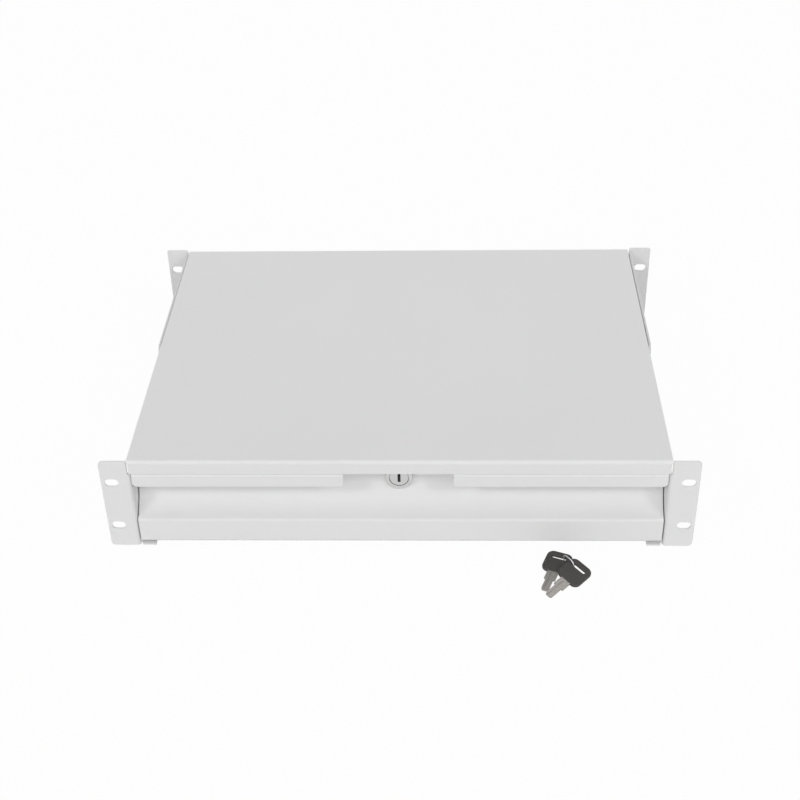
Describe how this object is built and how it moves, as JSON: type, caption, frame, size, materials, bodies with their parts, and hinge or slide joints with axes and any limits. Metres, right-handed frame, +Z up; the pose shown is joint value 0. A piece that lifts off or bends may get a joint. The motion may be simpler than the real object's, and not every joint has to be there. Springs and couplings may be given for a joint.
{
  "type": "sliding rack drawer",
  "caption": "Lockable sliding drawer for a 19 inch rack: folded steel case with slotted ears, ball-bearing rails, scooped grip front, cam lock and loose keys.",
  "frame": {"origin": "centre of the four front slots, on the back face of the front ears", "axes": "+X to the right seen from the front, +Y to the rear, +Z up"},
  "size_m": [0.4826, 0.4107, 0.088],
  "materials": {
    "coat": "light grey powder coat",
    "zinc": "zinc plated",
    "ball_steel": "polished",
    "lock_nickel": "satin nickel",
    "cam_steel": "plated",
    "key_plastic": "black moulded",
    "key_nickel": "nickel plated",
    "rubber": "matt"
  },
  "bodies": {
    "case": {"left_side_panel": "coat", "right_side_panel": "coat", "top_cover": "coat", "cover_nuts": "zinc", "rear_panel": "coat", "rear_panel_screws": "zinc", "rear_bumpers": "rubber", "lock_strike": "zinc", "left_cabinet_rail": "zinc", "right_cabinet_rail": "zinc", "case_rail_rivets": "zinc", "bracket_inserts": "zinc", "bracket_screws": "zinc"},
    "left_bracket": {"left_rear_bracket": "coat"},
    "right_bracket": {"right_rear_bracket": "coat"},
    "left_middle": {"left_middle_rail": "zinc"},
    "right_middle": {"right_middle_rail": "zinc"},
    "left_outer_cage": {"left_outer_ball_cage": "zinc", "left_outer_balls": "ball_steel"},
    "right_outer_cage": {"right_outer_ball_cage": "zinc", "right_outer_balls": "ball_steel"},
    "left_inner_cage": {"left_inner_ball_cage": "zinc", "left_inner_balls": "ball_steel"},
    "right_inner_cage": {"right_inner_ball_cage": "zinc", "right_inner_balls": "ball_steel"},
    "drawer": {"drawer_front": "coat", "drawer_tray": "coat", "front_nuts": "zinc", "tray_back": "coat", "tray_back_rivets": "zinc", "left_drawer_rail": "zinc", "right_drawer_rail": "zinc", "drawer_rail_rivets": "zinc", "lock_body": "lock_nickel", "lock_nut": "zinc"},
    "lock_core": {"lock_plug": "lock_nickel", "lock_cam": "cam_steel", "cam_screw": "zinc"},
    "keys": {"lower_key_blade": "key_nickel", "lower_key_head": "key_plastic", "upper_key_blade": "key_nickel", "upper_key_head": "key_plastic", "key_ring": "zinc"}
  },
  "joints": [
    {"name": "drawer_slide", "type": "slide", "parent": "case", "child": "drawer", "axis": [0, -1, 0], "range_m": [0, 0.28]},
    {"name": "left_middle_slide", "type": "slide", "parent": "case", "child": "left_middle", "axis": [0, -1, 0], "range_m": [0, 0.14]},
    {"name": "left_outer_cage_slide", "type": "slide", "parent": "case", "child": "left_outer_cage", "axis": [0, -1, 0], "range_m": [0, 0.07]},
    {"name": "left_inner_cage_slide", "type": "slide", "parent": "case", "child": "left_inner_cage", "axis": [0, -1, 0], "range_m": [0, 0.21]},
    {"name": "right_middle_slide", "type": "slide", "parent": "case", "child": "right_middle", "axis": [0, -1, 0], "range_m": [0, 0.14]},
    {"name": "right_outer_cage_slide", "type": "slide", "parent": "case", "child": "right_outer_cage", "axis": [0, -1, 0], "range_m": [0, 0.07]},
    {"name": "right_inner_cage_slide", "type": "slide", "parent": "case", "child": "right_inner_cage", "axis": [0, -1, 0], "range_m": [0, 0.21]},
    {"name": "lock_turn", "type": "hinge", "parent": "drawer", "child": "lock_core", "pos_m": [0, 0.0395, 0.01485], "axis": [0, -1, 0], "range_deg": [0, 90]},
    {"name": "left_bracket_slide", "type": "slide", "parent": "case", "child": "left_bracket", "axis": [0, 1, 0], "range_m": [0, 0.1]},
    {"name": "right_bracket_slide", "type": "slide", "parent": "case", "child": "right_bracket", "axis": [0, 1, 0], "range_m": [0, 0.1]},
    {"name": "keys_lift", "type": "slide", "parent": "drawer", "child": "keys", "axis": [0, 0, 1], "range_m": [0, 0.1]}
  ],
  "couplings": [
    {"joint": "left_middle_slide", "follows": "drawer_slide", "ratio": 0.5},
    {"joint": "left_outer_cage_slide", "follows": "drawer_slide", "ratio": 0.25},
    {"joint": "left_inner_cage_slide", "follows": "drawer_slide", "ratio": 0.75},
    {"joint": "right_middle_slide", "follows": "drawer_slide", "ratio": 0.5},
    {"joint": "right_outer_cage_slide", "follows": "drawer_slide", "ratio": 0.25},
    {"joint": "right_inner_cage_slide", "follows": "drawer_slide", "ratio": 0.75}
  ]
}
